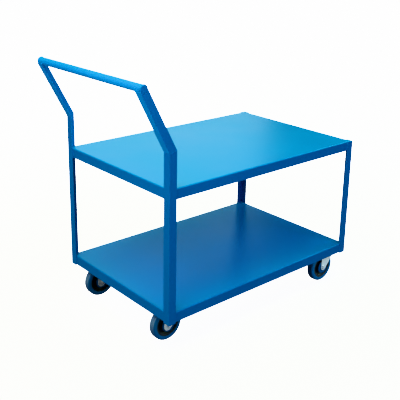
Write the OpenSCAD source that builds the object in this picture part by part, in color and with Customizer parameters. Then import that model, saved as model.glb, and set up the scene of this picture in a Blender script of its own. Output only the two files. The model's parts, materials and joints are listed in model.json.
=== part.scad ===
// Two-deck platform trolley with a raked push handle.
// Corner posts of angle iron carry two sheet-steel trays. The handle-end posts run on
// above the top deck, bend back and hold a round crossbar. Two swivel castors sit under
// the handle end and two fixed castors under the far end.
// X runs along the length with the handle at -X, Y runs across, Z is up from the floor.

/* [Frame] */
// Length over the corner posts
frame_l = 940; // [800:10:1200]
// Width over the corner posts
frame_w = 620; // [560:10:800]
// Leg width of the angle iron
angle_leg = 30; // [25:1:40]
// Thickness of the angle iron
angle_t = 4; // [3:0.5:5]
// How far the posts reach below the lower deck's edge
post_drop = 2; // [0:0.5:10]

/* [Decks] */
// Height of the lower deck's surface above the floor
lower_deck_z = 156; // [150:1:200]
// Height of the top deck's surface above the floor
top_deck_z = 600; // [450:10:800]
// Height of the folded deck edge
deck_edge_h = 38; // [30:1:50]
// Thickness of the deck sheet
sheet_t = 2; // [1.5:0.5:3]
// Outside radius of the folded edge
fold_r = 4; // [3.5:0.5:6]
// Fit-up gap between a deck's end and the posts
deck_end_gap = 0.5; // [0:0.5:2]
// Width of the stiffening channels under the decks
rib_w = 40; // [30:5:60]
// Depth of the stiffening channels under the decks
rib_h = 20; // [15:1:20]

/* [Handle] */
// Height of the outer corner where the handle bends back
bend_z = 721; // [660:1:900]
// Angle of the handle arms from the vertical
handle_lean = 28; // [15:1:40]
// Length of an arm from the bend to the crossbar's axis
arm_len = 240; // [150:5:350]
// Diameter of the crossbar
bar_d = 28; // [25:1:34]
// Wall of the crossbar
bar_wall = 2; // [1.5:0.5:3]
// Distance of the crossbar's axis from the arms' outer faces
bar_inset = 17; // [17:1:22]

/* [Castors] */
// Height of a castor from the floor to its top plate
castor_h = 150; // [150:1:155]
// Length of a top plate
plate_l = 100; // [96:1:105]
// Width of a top plate
plate_w = 85; // [80:1:90]
// Thickness of a top plate
plate_t = 3.5; // [3:0.5:4]
// Bolt spacing along a top plate
bolt_dx = 80; // [78:1:82]
// Bolt spacing across a top plate
bolt_dy = 60; // [58:1:62]
// Distance of the axle behind the top plate's centre
rake = 36; // [32:1:38]
// Space between the fork legs
leg_gap = 40; // [40:1:44]
// Thickness of the fork sheet
fork_t = 3; // [2.5:0.5:3.5]
// Distance of the swivel pivots from the handle-end posts' outer face
swivel_inset_x = 100; // [95:1:140]
// Distance of the swivel pivots from the sides of the frame
swivel_inset_y = 100; // [95:1:140]
// Distance of the fixed axles from the far end of the frame
fixed_inset_x = 96; // [96:1:140]
// Distance of the fixed wheels' middle from the sides of the frame
fixed_inset_y = 50; // [50:1:120]

/* [Wheels] */
// Wheel diameter
wheel_d = 125; // [120:1:126]
// Tyre width
tyre_w = 30; // [26:1:32]
// Rim diameter under the tyre
rim_d = 94; // [88:1:98]
// Length of the wheel hub
hub_l = 36; // [34:1:36]
// Diameter of the thread guards
guard_d = 54; // [44:1:60]

/* [Hidden] */
$fn = 64;
over = 1;             // how far a cutter reaches past the face it cuts

handle_reach = arm_len * sin(handle_lean);
mid_x = handle_reach / 2;         // middle of the decks, with the whole object's middle at x = 0

corner_r = 1;
root_r = 3;
toe_r = 2;
post_foot_z = lower_deck_z - deck_edge_h - post_drop;

deck_inset_x = angle_t + deck_end_gap;
deck_l = frame_l - 2 * deck_inset_x;
deck_w = frame_w - 2 * angle_t;
deck_corner_r = 4;
rib_sheet = 2;
rib_y = deck_w - 2 * sheet_t;
top_rib_pitch = deck_l * 0.32;
lower_rib_pitch = deck_l * 0.28;

bar_r = bar_d / 2;
cap_t = 2;
mitre = handle_lean / 2;

axle_z = wheel_d / 2;
wheel_r = wheel_d / 2;
pad_t = lower_deck_z - sheet_t - castor_h;
pad_w = plate_w + 1;
plate_corner_r = 8;
plate_z = castor_h - plate_t;     // underside of the top plates
leg_y = leg_gap / 2;              // inner face of a fork leg
fork_y = leg_y + fork_t;          // outer face of a fork leg

// swivel head, from the top plate down
race_h = 7;
race_in_r = 19;
race_out_r = 35;
ball_r = 3;
ball_ring_r = (race_in_r + race_out_r) / 2;
ball_count = 14;
ball_play = 0.3;
race_gap = 2;
upper_race_z = plate_z - race_h;
lower_race_z = upper_race_z - race_gap;
ball_z = upper_race_z - race_gap / 2;
lower_race_h = 2.5;
crown_r = 38;
crown_z = lower_race_z - lower_race_h - fork_t;
king_r = 6;
king_head_r = 11;
king_head_h = 3;
running_play = 0.06;

// outline of a fork leg seen from the side, measured from the axle
swivel_end = [-5, -3];
swivel_end_r = 17.5;
swivel_front = [-17, 32];
swivel_back = [48, 34];
fixed_end = [1, 1];
fixed_end_r = 15;
fixed_front = [-12.5, 40];
fixed_back = [50, 38];
leg_top_half = 30;
fixed_crown_z = plate_z - fork_t;
fixed_crown_half = 33;

// axle and bearing
bolt_r = 4;
bolt_fit = 0.05;
hex_r = 7.5;
bolt_head_h = 5.3;
nut_h = 6.8;
bolt_tail = 8;
sleeve_r = 6;
roller_r = 2;
roller_ring_r = sleeve_r + roller_r + running_play;
roller_count = 10;
roller_l = 30;
bore_r = roller_ring_r + roller_r + 0.02;
guard_t = 1.6;
guard_lip = 1.2;

// fasteners between castors and pads
stud_r = 4;
plate_hole_r = 4.5;
stud_l = 17;
washer_r = 8;
washer_t = 1.6;
rivet_r = 4;
rivet_head_r = 7;
rivet_head_h = 2;
rivet_dx = 18;
rivet_dy = 10;

// weld beads
toe_bead_r = 2.5;
seam_bead_r = 1.6;
seam_offset = 0.8;
bend_bead_r = 1.6;
bead_sink = 0.9;
ring_bead_r = 1.8;

blue_paint = [0.0, 0.42, 0.72];
zinc = [0.76, 0.79, 0.82];
bright_steel = [0.62, 0.64, 0.67];
tyre_blue = [0.06, 0.28, 0.45];
rim_black = [0.1, 0.1, 0.1];
guard_navy = [0.05, 0.16, 0.3];

near = -1;
far = 1;
handle_end = -1;
far_end = 1;

// ---- frames of reference ----

// An outer corner of the frame, with its local +X and +Y pointing inward.
module corner(end, side) {
    translate([mid_x + end * frame_l / 2, side * frame_w / 2, 0])
        mirror([end > 0 ? 1 : 0, 0, 0])
            mirror([0, side > 0 ? 1 : 0, 0])
                children();
}

// A handle arm's own frame: origin at the bend, +Z up along the arm.
module arm_frame(side) {
    corner(handle_end, side)
        translate([0, 0, bend_z])
            rotate([0, -handle_lean, 0])
                children();
}

// The floor point under a swivel pivot, with -Y always towards the outside.
module swivel_frame(side) {
    translate([mid_x - frame_l / 2 + swivel_inset_x, side * (frame_w / 2 - swivel_inset_y), 0])
        mirror([0, side > 0 ? 1 : 0, 0])
            children();
}

// The floor point under a fixed castor's top plate, with -Y always towards the outside.
module fixed_frame(side) {
    translate([mid_x + frame_l / 2 - fixed_inset_x + rake, side * (frame_w / 2 - fixed_inset_y), 0])
        mirror([0, side > 0 ? 1 : 0, 0])
            children();
}

// The middle of a wheel, with the axle along local Y.
module axle_frame() {
    translate([-rake, 0, axle_z]) children();
}

module along_y() {
    rotate([-90, 0, 0]) children();
}

module all_castors() {
    for (side = [near, far]) {
        swivel_frame(side) children();
        fixed_frame(side) children();
    }
}

// ---- small shapes ----

// A square corner with a round cut out of it, used to round an outside or fill an inside corner.
module corner_cove(r) {
    difference() {
        square(r);
        translate([r, r]) circle(r);
    }
}

module rounded_rectangle(l, w, r) {
    square([l - 2 * r, w], center = true);
    square([l, w - 2 * r], center = true);
    for (sx = [-1, 1], sy = [-1, 1])
        translate([sx * (l / 2 - r), sy * (w / 2 - r)]) circle(r);
}

module ring(outer, inner, h) {
    difference() {
        cylinder(r = outer, h = h);
        translate([0, 0, -over]) cylinder(r = inner, h = h + 2 * over);
    }
}

module hex(r, h, hole) {
    difference() {
        cylinder(r = r, h = h, $fn = 6);
        translate([0, 0, -over]) cylinder(r = hole, h = h + 2 * over);
    }
}

module bolt_places() {
    for (sx = [-1, 1], sy = [-1, 1])
        translate([sx * bolt_dx / 2, sy * bolt_dy / 2, 0]) children();
}

module rivet_places() {
    for (sx = [-1, 1], sy = [-1, 1])
        translate([sx * rivet_dx, sy * rivet_dy, 0]) children();
}

// Where the line from point p touches a circle; turn is 1 or -1 for the two sides.
function touch(c, r, p, turn) =
    let (d = norm(p - c), a = atan2(p.y - c.y, p.x - c.x), b = acos(r / d))
    c + r * [cos(a + turn * b), sin(a + turn * b)];

// ---- posts and handle ----

module angle_section() {
    difference() {
        square(angle_leg);
        translate([angle_t, angle_t]) square(angle_leg);
        corner_cove(corner_r);
        translate([angle_leg, angle_t]) rotate(180) corner_cove(toe_r);
        translate([angle_t, angle_leg]) rotate(180) corner_cove(toe_r);
    }
    translate([angle_t, angle_t]) corner_cove(root_r);
}

// Everything above (or below) the mitre plane through the bend, as a cutter.
module mitre_cutter(below) {
    reach = 3 * angle_leg;
    translate([0, 0, bend_z])
        rotate([0, -mitre, 0])
            translate([-reach, -over, below ? -reach : 0])
                cube([2 * reach, angle_leg + 2 * over, reach]);
}

module end_post(side) {
    color(blue_paint)
        corner(far_end, side)
            translate([0, 0, post_foot_z])
                linear_extrude(top_deck_z - post_foot_z) angle_section();
}

module handle_post(side) {
    color(blue_paint)
        corner(handle_end, side)
            difference() {
                translate([0, 0, post_foot_z])
                    linear_extrude(bend_z + angle_leg - post_foot_z) angle_section();
                mitre_cutter(false);
            }
}

module crossbar_space(r, y0, length) {
    translate([bar_inset, y0, arm_len]) along_y() cylinder(r = r, h = length);
}

module handle_arm(side) {
    color(blue_paint)
        difference() {
            arm_frame(side)
                difference() {
                    translate([0, 0, -angle_leg])
                        linear_extrude(arm_len + angle_leg) angle_section();
                    crossbar_space(bar_r, -over, angle_leg + 2 * over);
                }
            corner(handle_end, side) mitre_cutter(true);
        }
}

module handle_crossbar() {
    color(blue_paint)
        arm_frame(near)
            difference() {
                crossbar_space(bar_r, cap_t, frame_w - 2 * cap_t);
                crossbar_space(bar_r - bar_wall, cap_t - over, frame_w - 2 * cap_t + 2 * over);
            }
}

module crossbar_end_caps() {
    color(blue_paint)
        for (side = [near, far])
            arm_frame(side) crossbar_space(bar_r, 0, cap_t);
}

// ---- decks ----

// Upright rectangle with its two top corners rounded.
module top_rounded(l, h, r) {
    translate([-l / 2, 0]) square([l, h - r]);
    translate([-l / 2 + r, 0]) square([l - 2 * r, h]);
    for (s = [-1, 1])
        translate([s * (l / 2 - r), h - r]) circle(r);
}

module tray_block(l, w, h, r, plan_r) {
    intersection() {
        rotate([90, 0, 0]) linear_extrude(w, center = true) top_rounded(l, h, r);
        rotate([90, 0, 90]) linear_extrude(l, center = true) top_rounded(w, h, r);
        linear_extrude(h) rounded_rectangle(l, w, plan_r);
    }
}

module deck_tray(top_z) {
    inside = 2 * sheet_t;
    color(blue_paint)
        translate([mid_x, 0, top_z - deck_edge_h])
            difference() {
                tray_block(deck_l, deck_w, deck_edge_h, fold_r, deck_corner_r);
                translate([0, 0, -over])
                    tray_block(deck_l - inside, deck_w - inside, deck_edge_h - sheet_t + over,
                        fold_r - sheet_t, deck_corner_r - sheet_t);
            }
}

// Three channels across a deck's underside, open towards the sheet.
module deck_ribs(top_z, pitch) {
    color(blue_paint)
        for (i = [-1, 0, 1])
            translate([mid_x + i * pitch, 0, top_z - sheet_t - rib_h])
                rotate([90, 0, 0])
                    linear_extrude(rib_y, center = true)
                        difference() {
                            translate([-rib_w / 2, 0]) square([rib_w, rib_h]);
                            translate([-rib_w / 2 + rib_sheet, rib_sheet])
                                square([rib_w - 2 * rib_sheet, rib_h]);
                        }
}

module castor_pads() {
    color(blue_paint)
        all_castors()
            translate([0, 0, castor_h])
                linear_extrude(pad_t) rounded_rectangle(plate_l, pad_w, plate_corner_r);
}

// ---- welds ----

// Upright beads along the toes of each post, and a seam level with the deck inside it.
module post_welds() {
    upright_l = deck_edge_h - fold_r - 6;
    seam_l = angle_leg - angle_t;
    seam_inset = angle_t + seam_offset;
    color(blue_paint)
        for (end = [handle_end, far_end], side = [near, far], top_z = [lower_deck_z, top_deck_z])
            corner(end, side) {
                translate([0, 0, top_z - deck_edge_h + 3]) {
                    translate([angle_leg, angle_t, 0]) cylinder(r = toe_bead_r, h = upright_l);
                    translate([angle_t, angle_leg, 0]) cylinder(r = toe_bead_r, h = upright_l);
                }
                translate([0, 0, top_z - seam_bead_r]) {
                    translate([seam_inset, angle_t, 0])
                        along_y() cylinder(r = seam_bead_r, h = seam_l);
                    translate([angle_t, seam_inset, 0])
                        rotate([0, 90, 0]) cylinder(r = seam_bead_r, h = seam_l);
                }
            }
}

module handle_welds() {
    color(blue_paint)
        for (side = [near, far]) {
            corner(handle_end, side) {
                translate([bead_sink, bead_sink, bend_z])
                    along_y() cylinder(r = bend_bead_r, h = angle_leg - 2 * bead_sink);
                translate([bead_sink, bead_sink, bend_z])
                    rotate([0, 90 - mitre, 0]) cylinder(r = bend_bead_r, h = angle_leg - bead_sink);
            }
            arm_frame(side) {
                translate([bar_inset, angle_t + 0.5, arm_len])
                    along_y() rotate_extrude() translate([bar_r, 0]) circle(ring_bead_r);
                translate([angle_t - 1.2, angle_t, arm_len])
                    along_y() cylinder(r = toe_bead_r, h = angle_leg - angle_t - 1);
            }
        }
}

// ---- castor mountings ----

module castor_studs() {
    color(bright_steel)
        all_castors()
            bolt_places()
                translate([0, 0, castor_h - stud_l]) cylinder(r = stud_r, h = stud_l);
}

module castor_washers() {
    color(zinc)
        all_castors()
            bolt_places()
                translate([0, 0, plate_z - washer_t]) ring(washer_r, stud_r, washer_t);
}

module castor_nuts() {
    color(zinc)
        all_castors()
            bolt_places()
                translate([0, 0, plate_z - washer_t - nut_h]) hex(hex_r, nut_h, stud_r);
}

module top_plate() {
    translate([0, 0, plate_z])
        difference() {
            linear_extrude(plate_t) rounded_rectangle(plate_l, plate_w, plate_corner_r);
            bolt_places()
                translate([0, 0, -over]) cylinder(r = plate_hole_r, h = plate_t + 2 * over);
            translate([0, 0, -over]) children();
        }
}

module swivel_plate(side) {
    color(zinc)
        swivel_frame(side)
            top_plate() cylinder(r = king_r, h = plate_t + 2 * over);
}

module fixed_plate(side) {
    color(zinc)
        fixed_frame(side)
            top_plate() rivet_places() cylinder(r = rivet_r, h = plate_t + 2 * over);
}

// ---- swivel head ----

module swivel_king_pins() {
    foot_z = crown_z - ball_play - king_head_h;
    color(bright_steel)
        for (side = [near, far])
            swivel_frame(side) {
                translate([0, 0, foot_z]) cylinder(r = king_head_r, h = king_head_h);
                translate([0, 0, foot_z]) cylinder(r = king_r, h = castor_h - foot_z);
            }
}

module ball_groove(play) {
    translate([0, 0, ball_z])
        rotate_extrude() translate([ball_ring_r, 0]) circle(ball_r + play);
}

module swivel_upper_races() {
    color(zinc)
        for (side = [near, far])
            swivel_frame(side)
                difference() {
                    translate([0, 0, upper_race_z]) ring(race_out_r + 1, race_in_r, race_h);
                    ball_groove(ball_play);
                }
}

module swivel_balls(side) {
    color(bright_steel)
        swivel_frame(side)
            for (i = [0 : ball_count - 1])
                rotate(i * 360 / ball_count)
                    translate([ball_ring_r, 0, ball_z]) sphere(ball_r);
}

// ---- forks ----

// Outline of a leg: a round end at the axle, widening to the crown.
module leg_outline(end_c, end_r, front, back, top_z) {
    translate(end_c) circle(end_r);
    polygon([
        touch(end_c, end_r, front, 1),
        front,
        [rake - leg_top_half, top_z],
        [rake + leg_top_half, top_z],
        back,
        touch(end_c, end_r, back, -1)
    ]);
}

// Both legs, with the axle hole through them, in the castor's own frame.
module fork_legs(end_c, end_r, front, back, top_z) {
    axle_frame()
        for (s = [-1, 1])
            translate([0, s * (leg_y + fork_t / 2), 0])
                rotate([90, 0, 0])
                    linear_extrude(fork_t, center = true)
                        difference() {
                            leg_outline(end_c, end_r, front, back, top_z - axle_z);
                            circle(bolt_r + bolt_fit);
                        }
}

module swivel_fork(side) {
    color(zinc)
        swivel_frame(side)
            difference() {
                union() {
                    fork_legs(swivel_end, swivel_end_r, swivel_front, swivel_back, crown_z + over);
                    translate([0, 0, crown_z]) cylinder(r = crown_r, h = fork_t);
                    translate([0, 0, crown_z]) ring(race_out_r, race_in_r, lower_race_z - crown_z);
                }
                translate([0, 0, crown_z - over]) cylinder(r = king_r + running_play, h = 20);
                ball_groove(0.05);
            }
}

module fixed_fork(side) {
    color(zinc)
        fixed_frame(side) {
            fork_legs(fixed_end, fixed_end_r, fixed_front, fixed_back, fixed_crown_z + over);
            translate([0, 0, fixed_crown_z])
                difference() {
                    linear_extrude(fork_t)
                        square([2 * fixed_crown_half, 2 * fork_y], center = true);
                    rivet_places()
                        translate([0, 0, -over]) cylinder(r = rivet_r, h = fork_t + 2 * over);
                }
        }
}

module fixed_fork_rivets() {
    color(bright_steel)
        for (side = [near, far])
            fixed_frame(side)
                rivet_places() {
                    translate([0, 0, fixed_crown_z - rivet_head_h])
                        cylinder(r = rivet_head_r, h = rivet_head_h);
                    translate([0, 0, fixed_crown_z - rivet_head_h])
                        cylinder(r = rivet_r, h = castor_h - fixed_crown_z + rivet_head_h);
                }
}

// ---- axles ----

module axle_bolt() {
    axle_frame()
        translate([0, -fork_y, 0]) {
            translate([0, -bolt_head_h, 0]) along_y() cylinder(r = hex_r, h = bolt_head_h, $fn = 6);
            along_y() cylinder(r = bolt_r, h = 2 * fork_y + bolt_tail);
        }
}

module axle_nut() {
    axle_frame()
        translate([0, fork_y, 0]) along_y() hex(hex_r, nut_h, bolt_r);
}

module axle_sleeve() {
    axle_frame()
        translate([0, -leg_y, 0]) along_y() ring(sleeve_r, bolt_r + bolt_fit, leg_gap);
}

// A dished disc against the inside of each fork leg.
module thread_guards() {
    axle_frame()
        for (s = [-1, 1])
            rotate([s * 90, 0, 0])
                translate([0, 0, leg_y - guard_t])
                    rotate_extrude()
                        polygon([
                            [sleeve_r, 0.4], [guard_d / 2 - 3, 0.4], [guard_d / 2 - 1.5, -guard_lip],
                            [guard_d / 2, -guard_lip], [guard_d / 2, guard_t - 0.6],
                            [guard_d / 2 - 0.6, guard_t], [sleeve_r, guard_t]
                        ]);
}

module fixed_pair() {
    for (side = [near, far])
        fixed_frame(side) children();
}

// ---- wheels ----

module rim() {
    band_half = 13;
    band_in_r = 41;
    hub_r = 16;
    web_half = 5;
    side_line = [
        [bore_r, hub_l / 2], [hub_r, hub_l / 2], [hub_r + 3, web_half + 1],
        [band_in_r - 3, web_half], [band_in_r, band_half], [rim_d / 2, band_half]
    ];
    other_side = [for (i = [len(side_line) - 1 : -1 : 0]) [side_line[i].x, -side_line[i].y]];
    color(rim_black)
        axle_frame()
            along_y() rotate_extrude() polygon(concat(side_line, other_side));
}

module tyre() {
    shoulder_r = 7;
    depth = wheel_r - rim_d / 2;
    color(tyre_blue)
        axle_frame()
            along_y()
                rotate_extrude()
                    translate([rim_d / 2, 0]) {
                        translate([0, -tyre_w / 2]) square([depth - shoulder_r, tyre_w]);
                        translate([0, -tyre_w / 2 + shoulder_r])
                            square([depth, tyre_w - 2 * shoulder_r]);
                        for (s = [-1, 1])
                            translate([depth - shoulder_r, s * (tyre_w / 2 - shoulder_r)])
                                circle(shoulder_r);
                    }
}

module rollers() {
    color(bright_steel)
        axle_frame()
            for (i = [0 : roller_count - 1])
                rotate([0, i * 360 / roller_count, 0])
                    translate([roller_ring_r, -roller_l / 2, 0])
                        along_y() cylinder(r = roller_r, h = roller_l);
}

// ---- the nodes ----

handle_post(near);  // near_handle_post
handle_post(far);  // far_handle_post
end_post(near);  // near_end_post
end_post(far);  // far_end_post
handle_arm(near);  // near_handle_arm
handle_arm(far);  // far_handle_arm
handle_crossbar();
crossbar_end_caps();
deck_tray(top_deck_z);  // top_deck
deck_tray(lower_deck_z);  // lower_deck
deck_ribs(top_deck_z, top_rib_pitch);  // top_deck_ribs
deck_ribs(lower_deck_z, lower_rib_pitch);  // lower_deck_ribs
castor_pads();
post_welds();
handle_welds();
castor_studs();
castor_washers();
castor_nuts();
swivel_plate(near);  // near_swivel_plate
swivel_plate(far);  // far_swivel_plate
swivel_king_pins();
swivel_upper_races();
fixed_plate(near);  // near_fixed_plate
fixed_plate(far);  // far_fixed_plate
fixed_fork(near);  // near_fixed_fork
fixed_fork(far);  // far_fixed_fork
fixed_fork_rivets();
color(zinc) fixed_pair() axle_bolt();  // fixed_axle_bolts
color(zinc) fixed_pair() axle_nut();  // fixed_axle_nuts
color(bright_steel) fixed_pair() axle_sleeve();  // fixed_axle_sleeves
color(guard_navy) fixed_pair() thread_guards();  // fixed_thread_guards
swivel_fork(near);  // near_swivel_fork
swivel_balls(near);  // near_swivel_balls
color(zinc) swivel_frame(near) axle_bolt();  // near_swivel_axle_bolt
color(zinc) swivel_frame(near) axle_nut();  // near_swivel_axle_nut
color(bright_steel) swivel_frame(near) axle_sleeve();  // near_swivel_axle_sleeve
color(guard_navy) swivel_frame(near) thread_guards();  // near_swivel_thread_guards
swivel_fork(far);  // far_swivel_fork
swivel_balls(far);  // far_swivel_balls
color(zinc) swivel_frame(far) axle_bolt();  // far_swivel_axle_bolt
color(zinc) swivel_frame(far) axle_nut();  // far_swivel_axle_nut
color(bright_steel) swivel_frame(far) axle_sleeve();  // far_swivel_axle_sleeve
color(guard_navy) swivel_frame(far) thread_guards();  // far_swivel_thread_guards
swivel_frame(near) rim();  // near_swivel_rim
swivel_frame(near) tyre();  // near_swivel_tyre
swivel_frame(near) rollers();  // near_swivel_rollers
swivel_frame(far) rim();  // far_swivel_rim
swivel_frame(far) tyre();  // far_swivel_tyre
swivel_frame(far) rollers();  // far_swivel_rollers
fixed_frame(near) rim();  // near_fixed_rim
fixed_frame(near) tyre();  // near_fixed_tyre
fixed_frame(near) rollers();  // near_fixed_rollers
fixed_frame(far) rim();  // far_fixed_rim
fixed_frame(far) tyre();  // far_fixed_tyre
fixed_frame(far) rollers();  // far_fixed_rollers
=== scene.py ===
import json
import math

import bmesh
import bpy
from mathutils import Matrix, Vector, noise


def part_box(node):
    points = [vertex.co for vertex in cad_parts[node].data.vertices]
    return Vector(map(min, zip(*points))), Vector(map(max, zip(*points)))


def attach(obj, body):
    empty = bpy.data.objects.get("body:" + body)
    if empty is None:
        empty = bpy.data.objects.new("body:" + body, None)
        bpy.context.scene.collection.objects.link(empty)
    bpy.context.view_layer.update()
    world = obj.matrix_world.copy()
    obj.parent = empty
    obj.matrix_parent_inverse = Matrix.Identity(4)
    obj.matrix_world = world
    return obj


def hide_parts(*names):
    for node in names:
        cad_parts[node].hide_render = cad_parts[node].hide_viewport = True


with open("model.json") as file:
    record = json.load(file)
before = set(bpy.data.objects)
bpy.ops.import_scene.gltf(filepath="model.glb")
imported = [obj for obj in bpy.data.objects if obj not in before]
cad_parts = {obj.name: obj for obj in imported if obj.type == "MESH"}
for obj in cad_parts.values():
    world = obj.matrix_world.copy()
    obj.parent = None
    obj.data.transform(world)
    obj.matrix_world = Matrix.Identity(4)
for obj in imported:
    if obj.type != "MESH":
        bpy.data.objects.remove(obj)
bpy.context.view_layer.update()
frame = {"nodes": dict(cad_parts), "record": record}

# ---- sizes, in metres, and places from the CAD nodes ----

NEAR, FAR = -1, 1
SIDES = ((NEAR, "near"), (FAR, "far"))

# Angle iron of the posts and arms
LEG = 0.030
ANGLE_T = 0.004

# Handle: the arms lean back above the bend and carry the push bar
LEAN = math.radians(28)
MITRE = math.tan(LEAN / 2)
BEND_Z = 0.721
ARM_LEN = 0.240
BAR_R = 0.014
BAR_INSET = 0.017
HOLE_R = BAR_R + 0.0001

# Decks: the sheet, the outer radius of a fold, the height of the folded edge, and the
# stiffening channels
SHEET = 0.002
FOLD = 0.004
EDGE_H = 0.038
RIB_HALF_W = 0.020
RIB_FOLD = 0.003

# Castors: heights of the axle, the fork's crown and both faces of the top plate, the rake
# by which the wheel trails behind the middle of the plate, and the fork's sheet and half width
AXLE_Z = 0.0625
CROWN_Z = 0.132
PLATE_Z = 0.1465
TOP_Z = 0.150
RAKE = 0.036
FORK_T = 0.003
FORK_Y = 0.020 + FORK_T

# Top plates and their pads: half sizes, corners, and the bolt pattern from the middle
PLATE_X, PLATE_Y, PAD_Y = 0.050, 0.0425, 0.043
PLATE_CORNER = 0.008
BOLT_X, BOLT_Y = 0.040, 0.030

# Wheels: the tyre's outer and inner radius and half width, and the guards' radius
TYRE_R, TYRE_IN, TYRE_HALF = 0.0625, 0.047, 0.015
GUARD_R = 0.027
GUARD_HOLE = 0.0062

# M8 fasteners: radii of the shank and of the hexagon's corners, and thicknesses
BOLT_R = 0.004
HEX_R = 0.0075
NUT_H = 0.0068
HEAD_H = 0.0048
FLANGE_T = 0.0005
WASHER_T = 0.0016

POST_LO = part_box("near_handle_post")[0]
END_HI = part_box("near_end_post")[1]
X0, X1 = POST_LO.x, END_HI.x
HALF_W = -POST_LO.y
MID = (X0 + X1) / 2
FOOT_Z = POST_LO.z
LOWER_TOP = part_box("lower_deck")[1].z
TOP_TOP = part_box("top_deck")[1].z
DECK_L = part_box("top_deck")[1].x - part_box("top_deck")[0].x
SWIVEL_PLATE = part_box("near_swivel_plate")
FIXED_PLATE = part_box("near_fixed_plate")


def mirrored(x, y, end, side):
    """A local frame at (x, y) whose +X and +Y point inward from that end and side."""
    flip = Matrix.Diagonal((-end, -side, 1, 1))
    return Matrix.Translation((x, y, 0)) @ flip


def corner(end, side):
    """The frame of a corner of the trolley."""
    return mirrored(X0 if end < 0 else X1, side * HALF_W, end, side)


def raised(z):
    return Matrix.Translation((0, 0, z))


def arm_frame(side):
    """The frame of an arm, whose Z runs along the arm from the bend."""
    return corner(-1, side) @ raised(BEND_Z) @ Matrix.Rotation(-LEAN, 4, "Y")


def plate_frame(box, side):
    """The frame of a castor, in the middle of the near side's plate or of its mirror image."""
    lo, hi = box
    return mirrored((lo.x + hi.x) / 2, side * -(lo.y + hi.y) / 2, -1, side)


def swivel_frame(side):
    return plate_frame(SWIVEL_PLATE, side)


def fixed_frame(side):
    return plate_frame(FIXED_PLATE, side)


ALONG_Y = Matrix.Rotation(math.radians(-90), 4, "X")
AXLE = Matrix.Translation((-RAKE, 0, AXLE_Z))
BAR = Matrix.Translation((BAR_INSET, 0, ARM_LEN)) @ ALONG_Y
KINDS = (("swivel", swivel_frame), ("fixed", fixed_frame))
CASTORS = [base(side) for _, base in KINDS for side in (NEAR, FAR)]


# ---- outlines and shapes ----

def fillet(points, radii, steps=6):
    """A closed outline whose corners are rounded to their radius; 0 keeps a corner sharp."""
    out = []
    for i, r in enumerate(radii):
        p = Vector(points[i])
        if r == 0:
            out.append(p)
            continue
        a = (Vector(points[i - 1]) - p).normalized()
        b = (Vector(points[(i + 1) % len(points)]) - p).normalized()
        half = a.angle(b) / 2
        centre = p + (a + b).normalized() * (r / math.sin(half))
        arm = p + a * (r / math.tan(half)) - centre
        turn = 1 if a.x * b.y - a.y * b.x < 0 else -1
        for k in range(steps + 1):
            t = turn * (math.pi - 2 * half) * k / steps
            c, s = math.cos(t), math.sin(t)
            out.append(centre + Vector((arm.x * c - arm.y * s, arm.x * s + arm.y * c)))
    return out


def rounded_rectangle(hx, hy, r, steps=6):
    return fillet([(-hx, -hy), (hx, -hy), (hx, hy), (-hx, hy)], [r] * 4, steps)


def inset(outline, d):
    """The outline moved inward by d."""
    area = sum(
        a.x * b.y - a.y * b.x for a, b in zip(outline, outline[1:] + outline[:1])
    )
    sign = 1 if area > 0 else -1
    out = []
    for i, p in enumerate(outline):
        a = (p - outline[i - 1]).normalized()
        b = (outline[(i + 1) % len(outline)] - p).normalized()
        na, nb = Vector((-a.y, a.x)), Vector((-b.y, b.x))
        m = na + nb
        out.append(p + m * (sign * d / max(m.dot(na), 0.2)))
    return out


def skin(rings, caps=True, closed=False):
    """A skin over rings of equal length, with flat caps, open, or closed end to end."""
    n, m = len(rings[0]), len(rings)
    verts = [Vector(v) for ring in rings for v in ring]
    faces = []
    for i in range(m if closed else m - 1):
        a, b = i * n, ((i + 1) % m) * n
        for k in range(n):
            j = (k + 1) % n
            faces.append((a + k, a + j, b + j, b + k))
    if caps and not closed:
        faces.append(tuple(reversed(range(n))))
        faces.append(tuple(range((m - 1) * n, m * n)))
    return verts, faces


def place(shape, matrix):
    verts, faces = shape
    return [matrix @ v for v in verts], faces


def join(shapes):
    verts, faces = [], []
    for v, f in shapes:
        start = len(verts)
        verts += v
        faces += [tuple(i + start for i in face) for face in f]
    return verts, faces


def bar(outline, z0, z1, chamfer=0.0003, slope0=0.0, slope1=0.0):
    """An outline swept along Z with chamfered ends; a slope tilts an end along X.

    The chamfer has to be smaller than the outline's smallest fillet, or the ends fold over.
    """
    small = inset(outline, chamfer)
    rings = [
        [(p.x, p.y, z0 + slope0 * p.x) for p in small],
        [(p.x, p.y, z0 + chamfer + slope0 * p.x) for p in outline],
        [(p.x, p.y, z1 - chamfer + slope1 * p.x) for p in outline],
        [(p.x, p.y, z1 + slope1 * p.x) for p in small],
    ]
    return skin(rings)


def circle(r, z, sides):
    turns = [2 * math.pi * k / sides for k in range(sides)]
    return [(r * math.cos(a), r * math.sin(a), z) for a in turns]


def lathe(profile, steps=96, closed=True):
    """(radius, height) points turned about Z."""
    return skin([circle(r, h, steps) for r, h in profile], caps=False, closed=closed)


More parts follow.
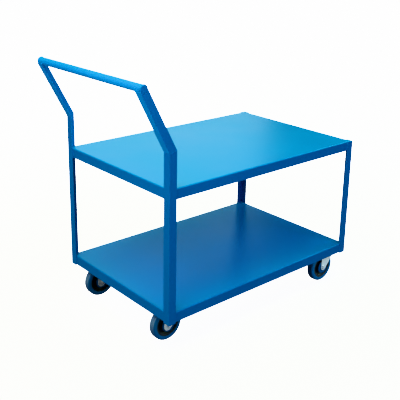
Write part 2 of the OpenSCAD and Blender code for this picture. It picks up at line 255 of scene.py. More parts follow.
def bead(path, radius, seed, closed=False, pitch=0.0017, sides=12):
    """A weld bead along a path of evenly spaced points, with the ripples of the pool."""
    n = len(path)
    odd = Vector((0.31, 0.52, 0.79))  # a direction that no path here runs along
    rings = []
    for i, p in enumerate(path):
        a = path[i - 1] if i or closed else p
        b = path[(i + 1) % n] if i < n - 1 or closed else p
        t = (b - a).normalized()
        u = t.cross(odd).normalized()
        v = t.cross(u)
        s = i * (path[1] - path[0]).length
        wave = (s / pitch) % 1
        r = radius * (0.94 + 0.10 * wave + 0.14 * noise.noise((s * 240, seed * 7.3, 0.4)))
        if not closed:
            end = min(i, n - 1 - i) / 3
            r *= math.sqrt(max(0.05, 1 - (1 - min(1, end)) ** 2))
        wander = 0.1 * radius * noise.noise((s * 160, seed * 3.1, 5.0))
        rings.append(
            [
                p + u * (wander + r * math.cos(a2)) + v * (r * math.sin(a2))
                for a2 in (2 * math.pi * k / sides for k in range(sides))
            ]
        )
    return skin(rings, caps=not closed, closed=closed)


def line(a, b, step=0.0004):
    a, b = Vector(a), Vector(b)
    n = max(8, int((b - a).length / step))
    return [a.lerp(b, k / n) for k in range(n + 1)]


def hexagon(r, h, hole=0.0, chamfers=(True, True), sides=48):
    """A hexagon head or nut along Z, its corners turned down by a cone at each chamfered end."""
    flat = r * math.cos(math.pi / 6)
    cut = flat * 0.97
    lead = 0.0005 if hole else 0.0

    def hexed(z, end):
        out = []
        for k in range(sides):
            a = 2 * math.pi * k / sides
            b = (a % (math.pi / 3)) - math.pi / 6
            rr = flat / math.cos(b)
            drop = (rr - cut) * math.tan(math.radians(30)) if chamfers[end] else 0.0
            out.append((rr * math.cos(a), rr * math.sin(a), z + (drop if end == 0 else -drop)))
        return out

    rings = [circle(hole + lead, 0.0, sides), circle(cut, 0.0, sides), hexed(0.0, 0)]
    rings += [hexed(h, 1), circle(cut, h, sides), circle(hole + lead, h, sides)]
    if hole:
        rings += [circle(hole, h - lead, sides), circle(hole, lead, sides)]
    return skin(rings, caps=False, closed=bool(hole))


def thread(r, z0, z1, pitch=0.00125, sides=32, per_turn=6):
    """A threaded stud end along Z, from its free end z0 up to z1."""
    depth = 0.55 * pitch
    lead_in = 1.1  # how steeply the free end widens
    n = int((z1 - z0) / pitch * per_turn)
    rings = [[(0, 0, z0)] * sides]
    for i in range(n + 1):
        z = z0 + (z1 - z0) * i / n
        ring = []
        for k in range(sides):
            a = 2 * math.pi * k / sides
            w = abs((z / pitch - k / sides) % 1 - 0.5) * 2
            rr = min(r - depth * w, r - depth + (z - z0) * lead_in)
            ring.append((rr * math.cos(a), rr * math.sin(a), z))
        rings.append(ring)
    rings.append([(0, 0, z1)] * sides)
    return skin(rings, caps=False)


# ---- pieces ----

BODY_OF = {
    n: b for b, ns in frame["record"]["behaviour"]["bodies"].items() for n in ns
}


def mesh_object(name, shape, sharp=32):
    verts, faces = shape
    mesh = bpy.data.meshes.new(name)
    mesh.from_pydata([tuple(v) for v in verts], [], faces)
    bm = bmesh.new()
    bm.from_mesh(mesh)
    bmesh.ops.remove_doubles(bm, verts=bm.verts, dist=1e-6)
    bmesh.ops.dissolve_degenerate(bm, edges=bm.edges, dist=1e-7)
    bmesh.ops.recalc_face_normals(bm, faces=bm.faces)
    bm.to_mesh(mesh)
    bm.free()
    mesh.shade_smooth()
    mesh.set_sharp_from_angle(angle=math.radians(sharp))
    obj = bpy.data.objects.new(name, mesh)
    bpy.context.scene.collection.objects.link(obj)
    return obj


def boolean(obj, other, operation):
    """obj cut by, or kept inside, other, which is used up."""
    mod = obj.modifiers.new("boolean", "BOOLEAN")
    mod.operation, mod.solver, mod.object = operation, "EXACT", other
    graph = bpy.context.evaluated_depsgraph_get()
    mesh = bpy.data.meshes.new_from_object(obj.evaluated_get(graph))
    bm = bmesh.new()
    bm.from_mesh(mesh)
    verts = [v.co.copy() for v in bm.verts]
    faces = [tuple(v.index for v in f.verts) for f in bm.faces]
    bm.free()
    bpy.data.objects.remove(obj)
    bpy.data.objects.remove(other)
    return verts, faces


def piece(name, shapes, nodes, material, sharp=32, bevel=0.0):
    obj = mesh_object(name, join(shapes), sharp)
    if bevel:
        mod = obj.modifiers.new("edges", "BEVEL")
        mod.width, mod.segments = bevel, 2
        mod.limit_method, mod.angle_limit = "ANGLE", math.radians(40)
        mod.harden_normals = True
    mod = obj.modifiers.new("normals", "WEIGHTED_NORMAL")
    mod.keep_sharp = True
    obj.data.materials.append(material)
    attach(obj, BODY_OF[nodes[0]])
    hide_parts(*nodes)
    return obj


# ---- materials ----

class Shader:
    """A material's node tree, with short calls for the nodes used here."""

    def __init__(self, name):
        self.material = bpy.data.materials.new(name)
        self.material.use_nodes = True
        self.tree = self.material.node_tree
        self.bsdf = self.tree.nodes["Principled BSDF"]
        self.place = self.tree.nodes.new("ShaderNodeTexCoord").outputs["Object"]

    def node(self, kind, inputs=None, **settings):
        made = self.tree.nodes.new("ShaderNode" + kind)
        for key, value in settings.items():
            setattr(made, key, value)
        for key, value in (inputs or {}).items():
            self.set(made.inputs[key], value)
        return made

    def set(self, socket, value):
        if isinstance(value, bpy.types.NodeSocket):
            self.tree.links.new(value, socket)
        else:
            socket.default_value = value

    def noise(self, scale, detail=2.0, rough=0.5, stretch=None):
        where = self.place
        if stretch:
            where = self.node("Mapping", {"Vector": where, "Scale": stretch}).outputs[0]
        return self.node(
            "TexNoise", {"Vector": where, "Scale": scale, "Detail": detail, "Roughness": rough}
        ).outputs["Fac"]

    def span(self, value, low, high, to_low=0.0, to_high=1.0):
        inputs = {"Value": value, "From Min": low, "From Max": high}
        inputs.update({"To Min": to_low, "To Max": to_high})
        return self.node("MapRange", inputs).outputs[0]

    def math(self, operation, a, b=0.0):
        made = self.node("Math", operation=operation)
        self.set(made.inputs[0], a)
        self.set(made.inputs[1], b)
        return made.outputs[0]

    def mix(self, fac, a, b):
        made = self.node("Mix", data_type="RGBA")
        self.set(made.inputs[0], fac)
        self.set(made.inputs[6], a)
        self.set(made.inputs[7], b)
        return made.outputs[2]

    def edges(self, radius, low=0.02, high=0.25):
        """1 along sharp convex or concave edges, 0 on flat faces."""
        soft = self.node("Bevel", {"Radius": radius}, samples=6).outputs[0]
        hard = self.node("NewGeometry").outputs["Normal"]
        dot = self.node("VectorMath", operation="DOT_PRODUCT")
        self.set(dot.inputs[0], soft)
        self.set(dot.inputs[1], hard)
        return self.span(self.math("SUBTRACT", 1.0, dot.outputs["Value"]), low, high)

    def bump(self, height, strength, distance, normal=None):
        inputs = {"Height": height, "Strength": strength, "Distance": distance}
        if normal is not None:
            inputs["Normal"] = normal
        return self.node("Bump", inputs).outputs[0]

    def finish(self, **values):
        for key, value in values.items():
            self.set(self.bsdf.inputs[key.replace("_", " ")], value)
        return self.material


def powder_coat():
    s = Shader("blue_powder_coat")
    blue = (0.0, 0.205, 0.490, 1)
    deep = (0.0, 0.188, 0.470, 1)
    thin = (0.01, 0.33, 0.60, 1)
    cloud = s.noise(3.0, 3.0)
    peel = s.noise(420, 2.5, 0.55)
    grain = s.noise(1500, 2.0)
    wave = s.noise(9.0, 1.0)
    rub = s.noise(26, 4.0, 0.65)
    edge = s.edges(0.0012)
    worn = s.math("MULTIPLY", edge, s.span(rub, 0.42, 0.62, 0.25, 1.0))
    colour = s.mix(s.span(cloud, 0.35, 0.65), deep, blue)
    colour = s.mix(s.math("MULTIPLY", worn, 0.55), colour, thin)
    scratch = s.noise(60, 3.0, 0.6, stretch=(1.0, 14.0, 14.0))
    scratch = s.span(scratch, 0.70, 0.76)
    rough = s.span(cloud, 0.3, 0.7, 0.30, 0.36)
    rough = s.math("ADD", rough, s.span(grain, 0.3, 0.7, -0.02, 0.02))
    rough = s.math("ADD", rough, s.math("MULTIPLY", scratch, 0.05))
    rough = s.math("ADD", rough, s.math("MULTIPLY", worn, 0.08))
    normal = s.bump(wave, 0.35, 0.0006)
    normal = s.bump(peel, 0.30, 0.00018, normal)
    normal = s.bump(grain, 0.15, 0.00003, normal)
    return s.finish(
        Base_Color=colour, Roughness=rough, Normal=normal, IOR=1.84,
        Specular_Tint=(0.15, 0.8, 1.0, 1),
    )


def zinc():
    s = Shader("zinc_plate")
    cloud = s.noise(28, 4.0, 0.6)
    tint = s.noise(11, 2.0)
    streak = s.noise(300, 3.0, 0.6, stretch=(0.06, 1.0, 1.0))
    fine = s.noise(900, 3.0)
    edge = s.edges(0.0008)
    colour = s.mix(s.span(tint, 0.3, 0.7), (0.80, 0.88, 0.87, 1), (0.88, 0.91, 0.86, 1))
    colour = s.mix(s.math("MULTIPLY", edge, 0.5), colour, (0.90, 0.92, 0.94, 1))
    rough = s.span(cloud, 0.3, 0.7, 0.26, 0.42)
    rough = s.math("ADD", rough, s.span(fine, 0.3, 0.7, -0.03, 0.03))
    normal = s.bump(streak, 0.12, 0.00008)
    normal = s.bump(fine, 0.12, 0.00005, normal)
    return s.finish(Base_Color=colour, Roughness=rough, Normal=normal, Metallic=0.45)


def bright_steel():
    s = Shader("bright_steel")
    cloud = s.noise(60, 3.0)
    fine = s.noise(1200, 2.0)
    colour = s.mix(cloud, (0.50, 0.51, 0.52, 1), (0.62, 0.63, 0.65, 1))
    rough = s.span(cloud, 0.3, 0.7, 0.22, 0.36)
    return s.finish(
        Base_Color=colour, Roughness=rough, Normal=s.bump(fine, 0.1, 0.00003), Metallic=1.0
    )


def rubber():
    s = Shader("blue_tyre")
    tread = s.node("Attribute", attribute_name="tread").outputs["Fac"]
    cloud = s.noise(22, 4.0, 0.6)
    speck = s.noise(420, 3.0, 0.6)
    fine = s.noise(1700, 2.0)
    side = s.mix(s.span(cloud, 0.35, 0.65), (0.003, 0.115, 0.275, 1), (0.008, 0.14, 0.31, 1))
    dusty = s.mix(s.span(speck, 0.35, 0.65), (0.15, 0.25, 0.36, 1), (0.23, 0.32, 0.42, 1))
    dust = s.math("MULTIPLY", tread, s.span(cloud, 0.3, 0.7, 0.65, 1.0))
    colour = s.mix(dust, side, dusty)
    rough = s.math("ADD", s.span(cloud, 0.3, 0.7, 0.46, 0.56), s.math("MULTIPLY", dust, 0.2))
    normal = s.bump(speck, 0.25, 0.0001)
    normal = s.bump(fine, 0.2, 0.00004, normal)
    return s.finish(Base_Color=colour, Roughness=rough, Normal=normal, IOR=1.5)


def plastic(name, low, high, roughness):
    s = Shader(name)
    cloud = s.noise(35, 4.0, 0.6)
    fine = s.noise(1100, 2.0)
    edge = s.edges(0.0008)
    colour = s.mix(s.span(cloud, 0.35, 0.65), low, high)
    lifted = tuple(c * 1.5 + 0.004 for c in high[:3]) + (1,)
    colour = s.mix(s.math("MULTIPLY", edge, 0.5), colour, lifted)
    rough = s.span(cloud, 0.3, 0.7, roughness - 0.05, roughness + 0.05)
    return s.finish(
        Base_Color=colour, Roughness=rough, Normal=s.bump(fine, 0.25, 0.00005), IOR=1.49
    )


PAINT = powder_coat()
ZINC = zinc()
STEEL = bright_steel()
TYRE = rubber()
RIM = plastic("black_nylon", (0.085, 0.083, 0.078, 1), (0.115, 0.112, 0.104, 1), 0.48)
GUARD = plastic("navy_plastic", (0.003, 0.075, 0.20, 1), (0.005, 0.09, 0.235, 1), 0.40)
FINISH = {"bright_steel": STEEL, "zinc_plate": ZINC}

# ---- posts, arms and crossbar ----

# The angle iron's outer corner, toe, inner toe, root, inner toe and toe
ANGLE = fillet(
    [(0, 0), (LEG, 0), (LEG, ANGLE_T), (ANGLE_T, ANGLE_T), (ANGLE_T, LEG), (0, LEG)],
    [0.001, 0.0004, 0.002, 0.003, 0.002, 0.0004],
)
PAST = 0.01  # how far a cutter runs past what it cuts
cutter = [(0, -PAST), (HOLE_R, -PAST), (HOLE_R, LEG + PAST), (0, LEG + PAST)]

for side, word in SIDES:
    post = bar(ANGLE, FOOT_Z, END_HI.z)
    piece(f"{word}_far_end_angle", [place(post, corner(1, side))], [f"{word}_end_post"],
          PAINT)
    post = bar(ANGLE, FOOT_Z, BEND_Z, slope1=MITRE)
    piece(f"{word}_handle_angle", [place(post, corner(-1, side))], [f"{word}_handle_post"],
          PAINT)
    arm = mesh_object("arm", bar(ANGLE, 0, ARM_LEN, slope0=-MITRE))
    hole = place(lathe(cutter, 72, closed=False), BAR)
    arm = boolean(arm, mesh_object("hole", hole), "DIFFERENCE")
    piece(f"{word}_arm_angle", [place(arm, arm_frame(side))], [f"{word}_handle_arm"],
          PAINT)

# From the middle of an end cap, over the groove around the cap, to half the bar's length
length = 2 * HALF_W
half_bar = [
    (0, 0), (0.0108, 0), (0.0116, 0.0001), (0.0120, 0.0004), (0.0124, 0.0001), (0.0133, 0.0001),
    (0.0138, 0.0003), (BAR_R, 0.0009), (BAR_R, 0.010), (BAR_R, length / 2),
]
profile = half_bar + [(r, length - h) for r, h in reversed(half_bar[:-1])]
tube = place(lathe(profile, 96, closed=False), arm_frame(NEAR) @ BAR)
piece("push_bar", [tube], ["handle_crossbar", "crossbar_end_caps"], PAINT)

# ---- decks ----

def tray(node):
    """A sheet folded down on four sides.

    The section runs from the underside of the sheet, down the inside of the folded edge,
    around its rounded lower end and up the outside, as (distance inward, height).
    """
    lo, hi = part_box(node)
    hx, hy, h = (hi.x - lo.x) / 2, (hi.y - lo.y) / 2, hi.z - lo.z
    inner = FOLD - SHEET
    section = [(SHEET + 0.004, h - SHEET)]
    for k in range(7):
        a = math.pi / 2 * k / 6
        section.append((FOLD - inner * math.sin(a), h - FOLD + inner * math.cos(a)))
    section += [(SHEET, 0.0005), (SHEET - 0.0003, 0.0001), (SHEET / 2, 0)]
    section += [(0.0003, 0.0001), (0, 0.0005)]
    for k in range(9):
        a = math.pi / 2 * k / 8
        section.append((FOLD - FOLD * math.cos(a), h - FOLD + FOLD * math.sin(a)))
    section.append((FOLD + 0.002, h))
    rings = []
    for d, z in section:
        plan = rounded_rectangle(hx - d, hy - d, max(FOLD - d, 0.0006))
        rings.append([(MID + p.x, p.y, lo.z + z) for p in plan])
    return skin(rings)


def ribs(node, pitch):
    """Three stiffening channels with bent corners."""
    lo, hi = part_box(node)
    w, t, h = RIB_HALF_W, SHEET, hi.z - lo.z
    inner = RIB_FOLD - SHEET
    channel = fillet(
        [(-w, h), (-w, 0), (w, 0), (w, h), (w - t, h), (w - t, t), (t - w, t), (t - w, h)],
        [0, RIB_FOLD, RIB_FOLD, 0, 0, inner, inner, 0],
    )
    upright = bar(channel, lo.y, hi.y)
    turn = Matrix(((1, 0, 0, 0), (0, 0, 1, 0), (0, 1, 0, lo.z), (0, 0, 0, 1)))
    return [place(upright, Matrix.Translation((MID + i * pitch, 0, 0)) @ turn) for i in (-1, 0, 1)]


def stitch_welds(node, pitch, seed):
    """Short welds between the channels and the underside of the sheet."""
    off, radius, reach, apart = 0.0004, 0.0016, 0.012, 0.13
    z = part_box(node)[1].z - off
    out = []
    for i in (-1, 0, 1):
        for s in (-1, 1):
            x = MID + i * pitch + s * (RIB_HALF_W + off)
            for k in range(5):
                y = (k - 2) * apart
                path = line((x, y - reach, z), (x, y + reach, z))
                out.append(bead(path, radius, seed + k + 7 * i + 31 * s, sides=8))
    return out


for node, pitch in (("top_deck", 0.32 * DECK_L), ("lower_deck", 0.28 * DECK_L)):
    piece(f"{node}_sheet", [tray(node)], [node], PAINT)
    channels = ribs(f"{node}_ribs", pitch) + stitch_welds(f"{node}_ribs", pitch, 3)
    piece(f"{node}_channels", channels, [f"{node}_ribs"], PAINT)

pad = bar(rounded_rectangle(PLATE_X, PAD_Y, PLATE_CORNER), TOP_Z, LOWER_TOP - SHEET, 0.0005)
pads = [place(pad, m) for m in CASTORS]
piece("castor_pads_painted", pads, ["castor_pads"], PAINT)

# ---- welds ----

# Posts to decks: beads down the posts' edges, and seams along the top faces inside them
beads = []
seed = 1
TOE_R, SEAM_R, SEAM_IN, WELD_GAP = 0.0021, 0.0016, 0.0008, 0.003
for end in (-1, 1):
    for side in (NEAR, FAR):
        for top in (LOWER_TOP, TOP_TOP):
            z0, z1 = top - EDGE_H + WELD_GAP, top - FOLD - WELD_GAP
            a, b, z = ANGLE_T + SEAM_IN, ANGLE_T, top - SEAM_R
            toes = [line((x, y, z0), (x, y, z1)) for x, y in ((LEG, ANGLE_T), (ANGLE_T, LEG))]
            seams = [line((a, b, z), (a, LEG, z)), line((b, a, z), (LEG, a, z))]
            for paths, radius in ((toes, TOE_R), (seams, SEAM_R * 0.95)):
                for path in paths:
                    beads.append(place(bead(path, radius, seed, sides=10), corner(end, side)))
                    seed += 1
piece("post_weld_beads", beads, ["post_welds"], PAINT)

# Handle: the mitre between post and arm, the bar to the inside of the arm, and the bar to
# the arm's other leg
beads = []
MITRE_R, MITRE_SINK = 0.0015, 0.0009
RING_R, RING_OUT = 0.0014, 0.0005
LEG_R, LEG_SINK = 0.0023, 0.0012
TIP = LEG - 0.001
for side in (NEAR, FAR):
    bend = (MITRE_SINK, MITRE_SINK, BEND_Z)
    across = line(bend, (MITRE_SINK, TIP, BEND_Z))
    along = line(bend, (TIP, MITRE_SINK, BEND_Z + MITRE * LEG))
    for path in (across, along):
        beads.append(place(bead(path, MITRE_R, seed), corner(-1, side)))
        seed += 1
    ring = [
        Vector((BAR_INSET + x, ANGLE_T + RING_OUT, ARM_LEN + z))
        for x, z, _ in circle(BAR_R, 0, 200)
    ]
    beads.append(place(bead(ring, RING_R, seed, closed=True), arm_frame(side)))
    x = ANGLE_T - LEG_SINK
    toe = line((x, ANGLE_T, ARM_LEN), (x, TIP, ARM_LEN))
    beads.append(place(bead(toe, LEG_R, seed + 1), arm_frame(side)))
    seed += 2
piece("handle_weld_beads", beads, ["handle_welds"], PAINT)

# ---- castor mountings ----

BOLTS = [Matrix.Translation((x, y, 0)) for x in (-BOLT_X, BOLT_X) for y in (-BOLT_Y, BOLT_Y)]


def at_bolts(shape):
    return [place(shape, m @ b) for m in CASTORS for b in BOLTS]


WASHER_Z = PLATE_Z - WASHER_T
NUT_Z = PLATE_Z - WASHER_T - NUT_H
STUD_Z = TOP_Z - 0.017
SHANK_R = BOLT_R - 0.0001
plain = [(0, NUT_Z), (SHANK_R, NUT_Z), (SHANK_R, TOP_Z), (0, TOP_Z)]
stud = join([thread(BOLT_R, STUD_Z, NUT_Z + 0.001), lathe(plain, 24, closed=False)])
piece("castor_stud_set", at_bolts(stud), ["castor_studs"], STEEL, sharp=50)
washer = lathe([(0.0042, 0), (0.0078, 0), (0.008, 0.0002), (0.008, WASHER_T - 0.0002),
                (0.0078, WASHER_T), (0.0042, WASHER_T)], 48)
piece("castor_washer_set", at_bolts(place(washer, raised(WASHER_Z))), ["castor_washers"],
      ZINC)
nut = hexagon(HEX_R, NUT_H, hole=BOLT_R)
piece("castor_nut_set", at_bolts(place(nut, raised(NUT_Z))), ["castor_nuts"], ZINC)

# ---- castors ----

plate = bar(rounded_rectangle(PLATE_X, PLATE_Y, PLATE_CORNER), PLATE_Z, TOP_Z, 0.0006)
race = lathe([
    (0.019, 0.1400), (0.0195, 0.1395), (0.0350, 0.1395), (0.0360, 0.1405), (0.0360, 0.1430),
    (0.0352, 0.1448), (0.0338, 0.1460), (0.0335, PLATE_Z), (0.019, PLATE_Z),
], 96)
pin = lathe([
    (0, 0.1287), (0.0050, 0.1288), (0.0085, 0.1294), (0.0104, 0.1303), (0.0110, 0.1313),
    (0.0110, 0.1317), (0.0060, 0.1317), (0.0060, TOP_Z), (0, TOP_Z),
], 48, closed=False)
for side, word in SIDES:
    for kind, base in KINDS:
        piece(f"{word}_{kind}_top_plate", [place(plate, base(side))], [f"{word}_{kind}_plate"],
              ZINC)
piece("swivel_race_cups", [place(race, swivel_frame(s)) for s in (NEAR, FAR)],
      ["swivel_upper_races"], ZINC)
piece("swivel_pin_set", [place(pin, swivel_frame(s)) for s in (NEAR, FAR)],
      ["swivel_king_pins"], STEEL)


def leg_outline(end, r, front, back, top):
    """A fork leg seen from the side, measured from the axle.

    Its lower end is an arc of radius r about end. From there straight edges, tangent to the
    arc, run to front and back, and on to the leg's width at the height of top.
    """
    half_top, blend = 0.030, 0.02

    def touch(p, turn):
        d = Vector(p) - Vector(end)
        return math.atan2(d.y, d.x) + turn * math.acos(r / d.length)

    a0, a1 = touch(front, 1), touch(back, -1) + 2 * math.pi
    while a1 - a0 > 2 * math.pi:
        a1 -= 2 * math.pi
    arc = [
        Vector((end[0] + r * math.cos(a), end[1] + r * math.sin(a)))
        for a in (a0 + (a1 - a0) * k / 24 for k in range(25))
    ]
    rest = [back, (RAKE + half_top, top), (RAKE - half_top, top), front]
    outline = [arc[-1]] + [Vector(p) for p in rest] + [arc[0]]
    upper = fillet(outline, [0, blend, 0, 0, blend, 0], 8)
    return arc[1:-1] + upper


def pressed_fork(outline, crown_top):
    """A U of sheet, bent over the wheel and cropped to the legs' side outline."""
    w, t, z0, z1, bend = FORK_Y, FORK_T, AXLE_Z - 0.030, crown_top, 0.0055
    u = fillet(
        [(-w, z0), (-w, z1), (w, z1), (w, z0),
         (w - t, z0), (w - t, z1 - t), (t - w, z1 - t), (t - w, z0)],
        [0, bend, bend, 0, 0, bend - t, bend - t, 0], 8,
    )
    along_x = Matrix(((0, 0, 1, 0), (1, 0, 0, 0), (0, 1, 0, 0), (0, 0, 0, 1)))
    sheet = place(bar(u, -0.075, 0.075, 0.0001), along_x)
    upright = Matrix(((1, 0, 0, -RAKE), (0, 0, 1, 0), (0, 1, 0, AXLE_Z), (0, 0, 0, 1)))
    crop = place(bar(outline, -0.04, 0.04, 0.0001), upright)
    return boolean(mesh_object("sheet", sheet), mesh_object("crop", crop), "INTERSECT")


CROP_Z = 0.001 - AXLE_Z  # the outline ends a little above the crown
swivel_side = leg_outline((-0.005, -0.003), 0.0175, (-0.017, 0.032), (0.048, 0.034),
                          CROWN_Z + FORK_T + CROP_Z)
fixed_side = leg_outline((0.001, 0.001), 0.015, (-0.0125, 0.040), (0.050, 0.038),
                         PLATE_Z + CROP_Z)

# The legs of both kinds, and the lower race pressed into the crown of a swivel fork
swivel_legs = pressed_fork(swivel_side, CROWN_Z + FORK_T)
fixed_legs = pressed_fork(fixed_side, PLATE_Z)
saucer = lathe([
    (0.0062, CROWN_Z), (0.0368, CROWN_Z), (0.0378, 0.1326), (0.0380, 0.1336), (0.0376, 0.1345),
    (0.0362, 0.1352), (0.0351, 0.1360), (0.0348, 0.1372), (0.0340, 0.1375), (0.0200, 0.1375),
    (0.0190, 0.1370), (0.0190, CROWN_Z + FORK_T), (0.0062, CROWN_Z + FORK_T),
], 96)

RIVET_X, RIVET_Y = 0.018, 0.010
rivet = lathe([(0, -0.0020), (0.003, -0.0019), (0.0055, -0.0013), (0.0068, -0.0004), (0.007, 0),
               (0.004, 0), (0.004, 0.0065), (0, 0.0065)], 32, closed=False)

# Axle bolt and nut, along the axle from the near leg to the far one
FLANGE_Y = -FORK_Y - FLANGE_T
TIP_Y = FORK_Y + 0.0080
head = place(hexagon(HEX_R, HEAD_H, chamfers=(True, False)), raised(FLANGE_Y - HEAD_H))
flange = lathe([(0.0005, FLANGE_Y), (0.0070, FLANGE_Y), (0.0072, -FORK_Y), (0.0005, -FORK_Y)], 48)
shank = lathe([(0, -FORK_Y), (BOLT_R, -FORK_Y), (BOLT_R, TIP_Y - 0.0010), (0.0034, TIP_Y),
               (0, TIP_Y)], 32, closed=False)
bolt = [place(s, ALONG_Y) for s in (head, flange, shank)]
axle_nut = place(place(nut, raised(FORK_Y)), ALONG_Y)

g = GUARD_R
guard = lathe([
    (GUARD_HOLE, 0.0186), (g - 0.0045, 0.0186), (g - 0.0030, 0.0180), (g - 0.0016, 0.0172),
    (g - 0.0004, 0.0173), (g, 0.0179), (g - 0.0002, 0.0190), (g - 0.0010, 0.0197),
    (g - 0.0025, 0.0200), (GUARD_HOLE, 0.0200),
], 96)
guards = [place(guard, Matrix.Rotation(math.radians(a), 4, "X")) for a in (90, -90)]

for side, word in SIDES:
    m = swivel_frame(side)
    piece(f"{word}_swivel_pressing", [place(swivel_legs, m), place(saucer, m)],
          [f"{word}_swivel_fork"], ZINC, sharp=28, bevel=0.0003)
    piece(f"{word}_swivel_bolt", [place(s, m @ AXLE) for s in bolt],
          [f"{word}_swivel_axle_bolt"], ZINC)
    piece(f"{word}_swivel_nut", [place(axle_nut, m @ AXLE)],
          [f"{word}_swivel_axle_nut"], ZINC)
    piece(f"{word}_swivel_guards", [place(g, m @ AXLE) for g in guards],
          [f"{word}_swivel_thread_guards"], GUARD)
    m = fixed_frame(side)
    piece(f"{word}_fixed_pressing", [place(fixed_legs, m)], [f"{word}_fixed_fork"],
          ZINC, sharp=28, bevel=0.0003)

pair = [fixed_frame(s) for s in (NEAR, FAR)]
rivets = [place(rivet, m @ Matrix.Translation((x, y, PLATE_Z - FORK_T)))
          for m in pair for x in (-RIVET_X, RIVET_X) for y in (-RIVET_Y, RIVET_Y)]
piece("fixed_rivet_set", rivets, ["fixed_fork_rivets"], STEEL)
piece("fixed_bolt_set", [place(s, m @ AXLE) for m in pair for s in bolt], ["fixed_axle_bolts"],
      ZINC)
piece("fixed_nut_set", [place(axle_nut, m @ AXLE) for m in pair], ["fixed_axle_nuts"],
      ZINC)
piece("fixed_guard_set", [place(g, m @ AXLE) for m in pair for g in guards],
      ["fixed_thread_guards"], GUARD)

# ---- wheels ----

def whole(half):
    """The profile of a wheel part from the half of it on one side of the wheel."""
    return half + [Vector((p.x, -p.y)) for p in reversed(half[1:-1])]


rim_half = fillet(
    [(0.01028, 0), (0.01028, 0.018), (0.0160, 0.018), (0.0190, 0.0062), (0.0372, 0.0052),
     (0.0412, 0.0130), (TYRE_IN, 0.0130), (TYRE_IN, 0)],
    [0, 0.0005, 0.0012, 0.003, 0.003, 0.0010, 0.0004, 0], 5,
)
rim = lathe(whole(rim_half), 128)
tyre_half = fillet(
    [(TYRE_IN, 0), (TYRE_IN, 0.0138), (TYRE_IN + 0.0008, 0.0146), (TYRE_IN + 0.0035, TYRE_HALF),
     (TYRE_R, TYRE_HALF - 0.0006), (TYRE_R, 0)],
    [0, 0.0004, 0.0008, 0.0012, 0.0068, 0], 8,
)
tyre = lathe(whole(tyre_half), 160)

TREAD_FROM, TREAD_FULL = 0.0605, 0.0620  # radii between which the tread's dust fades in
for kind, base in KINDS:
    for side, word in SIDES:
        m = base(side) @ AXLE @ ALONG_Y
        piece(f"{word}_{kind}_wheel_centre", [place(rim, m)], [f"{word}_{kind}_rim"],
              RIM)
        made = piece(f"{word}_{kind}_wheel_tyre", [place(tyre, m)], [f"{word}_{kind}_tyre"],
                     TYRE)
        to_wheel = m.inverted()
        tread = made.data.attributes.new("tread", "FLOAT", "POINT")
        for v, item in zip(made.data.vertices, tread.data):
            p = to_wheel @ v.co
            fade = (math.hypot(p.x, p.y) - TREAD_FROM) / (TREAD_FULL - TREAD_FROM)
            item.value = min(1.0, max(0.0, fade))

# The rollers, sleeves and balls keep their CAD shape and get a procedural finish
for name, node in frame["nodes"].items():
    slot = next(s["material_slot"] for s in frame["record"]["subparts"] if s["node"] == name)
    if slot in FINISH:
        for item in node.material_slots:
            item.material = FINISH[slot]

# ---- floor, light and camera ----

def ground():
    """White to the camera, dim in reflections, and not there when seen from below."""
    s = Shader("pale_floor")
    reach = s.node("VectorMath", {0: s.place}, operation="LENGTH").outputs["Value"]
    direct = s.node("LightPath").outputs["Is Camera Ray"]
    glow = s.math("MULTIPLY", direct, s.span(reach, 0.7, 2.6, 2.4, 5.0))
    above = s.math("SUBTRACT", 1.0, s.node("NewGeometry").outputs["Backfacing"])
    return s.finish(
        Base_Color=s.mix(direct, (0.15, 0.14, 0.22, 1), (0.4, 0.4, 0.4, 1)), Roughness=0.9,
        Emission_Color=(1, 1, 1, 1), Emission_Strength=glow, Alpha=above,
    )


GROUND = ground()
FAR_OUT = 40
corners = [(x * FAR_OUT, y * FAR_OUT, 0) for x, y in ((-1, -1), (1, -1), (1, 1), (-1, 1))]
floor_mesh = bpy.data.meshes.new("floor")
floor_mesh.from_pydata(corners, [], [(0, 1, 2, 3)])
floor = bpy.data.objects.new("floor", floor_mesh)
bpy.context.scene.collection.objects.link(floor)
floor.data.materials.append(GROUND)


def softbox(name, towards, distance, size, power, aim=(MID, 0, 0.4), colour=(1, 1, 1)):
    """A square light at a distance from the aim point, in a direction that is given."""
    light = bpy.data.lights.new(name, "AREA")
    light.shape, light.size, light.energy, light.color = "SQUARE", size, power, colour
    obj = bpy.data.objects.new(name, light)
    obj.location = Vector(aim) + Vector(towards).normalized() * distance
    obj.rotation_mode = "QUATERNION"
    obj.rotation_quaternion = Vector(towards).to_track_quat("Z", "Y")
    obj.visible_camera = False
    bpy.context.scene.collection.objects.link(obj)
    return obj


# Towards the handle's end, the near side, the far end and up
softbox("key", (-0.72, -0.20, 0.64), 2.4, 1.6, 29)
softbox("front", (0.1, -0.70, 0.55), 3.6, 2.0, 44, colour=(0.45, 0.62, 1.0))
softbox("side", (0.85, -0.1, 0.40), 3.4, 1.8, 36, colour=(0.7, 1.0, 1.0))
softbox("low_left", (-0.98, -0.12, 0.10), 3.6, 1.8, 6, colour=(0.8, 0.95, 1.0))

# These two show on the paint too strongly as reflections, so they only light it
overhead = softbox("overhead", (-0.1, -0.05, 1.0), 3.0, 2.2, 98, colour=(0.95, 1.0, 0.46))
overhead.visible_glossy = False
back = softbox("back", (-0.25, 1.0, 0.10), 3.0, 1.8, 24, aim=(MID, 0, 0.35))
back.visible_glossy = False

# The wall of light behind the trolley that the decks and posts reflect
backdrop = softbox("backdrop", (0.25, 1.0, 0.0), 0.0, 1.0, 19, aim=(2.3, 3.4, 2.2))
backdrop.data.shape, backdrop.data.size, backdrop.data.size_y = "RECTANGLE", 2.8, 2.2


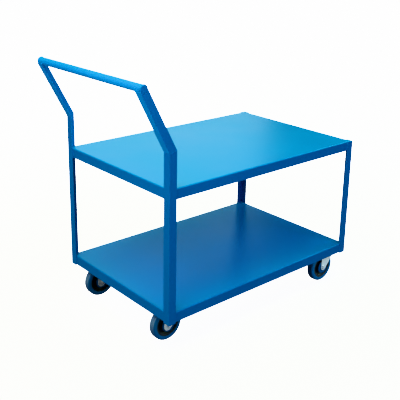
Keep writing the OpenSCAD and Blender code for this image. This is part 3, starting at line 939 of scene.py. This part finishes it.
def only_on(light, name, objects):
    """The light reaches nothing but these objects."""
    chosen = bpy.data.collections.new(name)
    for obj in objects:
        chosen.objects.link(obj)
    light.light_linking.receiver_collection = chosen


meshes = [o for o in bpy.context.scene.objects if o.type == "MESH" and o.data.materials]
castors = [o for o in meshes if o.data.materials[0] not in (PAINT, GROUND)]
handle = [o for o in meshes if o.name in ("push_bar", "near_arm_angle", "far_arm_angle")]
castor_fill = softbox("castor_fill", (0.45, -0.88, 0.14), 2.6, 1.6, 34, aim=(MID, 0, 0.1),
                      colour=(0.88, 1.0, 0.90))
only_on(castor_fill, "castor_parts", castors)
handle_fill = softbox("handle_fill", (-0.95, -0.15, -0.10), 2.0, 1.2, 18, aim=(X0, 0, 0.9),
                      colour=(0.9, 1.0, 0.8))
only_on(handle_fill, "handle_parts", handle)

# The world is bright to the camera and dim as a light
world = bpy.data.worlds.new("studio")
bpy.context.scene.world = world
world.use_nodes = True
tree = world.node_tree
tree.nodes.clear()
fill = tree.nodes.new("ShaderNodeBackground")
fill.inputs["Color"].default_value = (0.9, 0.95, 1.0, 1)
fill.inputs["Strength"].default_value = 0.08
seen = tree.nodes.new("ShaderNodeBackground")
seen.inputs["Strength"].default_value = 5.0
rays = tree.nodes.new("ShaderNodeLightPath")
pick = tree.nodes.new("ShaderNodeMixShader")
tree.links.new(rays.outputs["Is Camera Ray"], pick.inputs[0])
tree.links.new(fill.outputs[0], pick.inputs[1])
tree.links.new(seen.outputs[0], pick.inputs[2])
tree.links.new(pick.outputs[0], tree.nodes.new("ShaderNodeOutputWorld").inputs["Surface"])
bpy.context.scene.view_settings.view_transform = "Khronos PBR Neutral"
bpy.context.scene.view_settings.look = "High Contrast"

# From off the near corner of the handle's end, looking slightly down
YAW, PITCH, ROLL = 0.851, -0.281, 0.018
EYE = (MID - 1.788, -1.955, 1.378)
level = Vector((math.cos(YAW), math.sin(YAW), 0))
ahead = level * math.cos(PITCH) + Vector((0, 0, math.sin(PITCH)))
right = Vector((math.sin(YAW), -math.cos(YAW), 0))
up = right.cross(ahead)
right, up = (
    right * math.cos(ROLL) + up * math.sin(ROLL),
    up * math.cos(ROLL) - right * math.sin(ROLL),
)
camera = bpy.data.objects.new("camera", bpy.data.cameras.new("camera"))
bpy.context.scene.collection.objects.link(camera)
turn = Matrix((right, up, -ahead)).transposed().to_4x4()
camera.matrix_world = Matrix.Translation(EYE) @ turn
camera.data.sensor_width = 36
camera.data.lens = 63.56
camera.data.shift_y = -0.15
bpy.context.scene.camera = camera
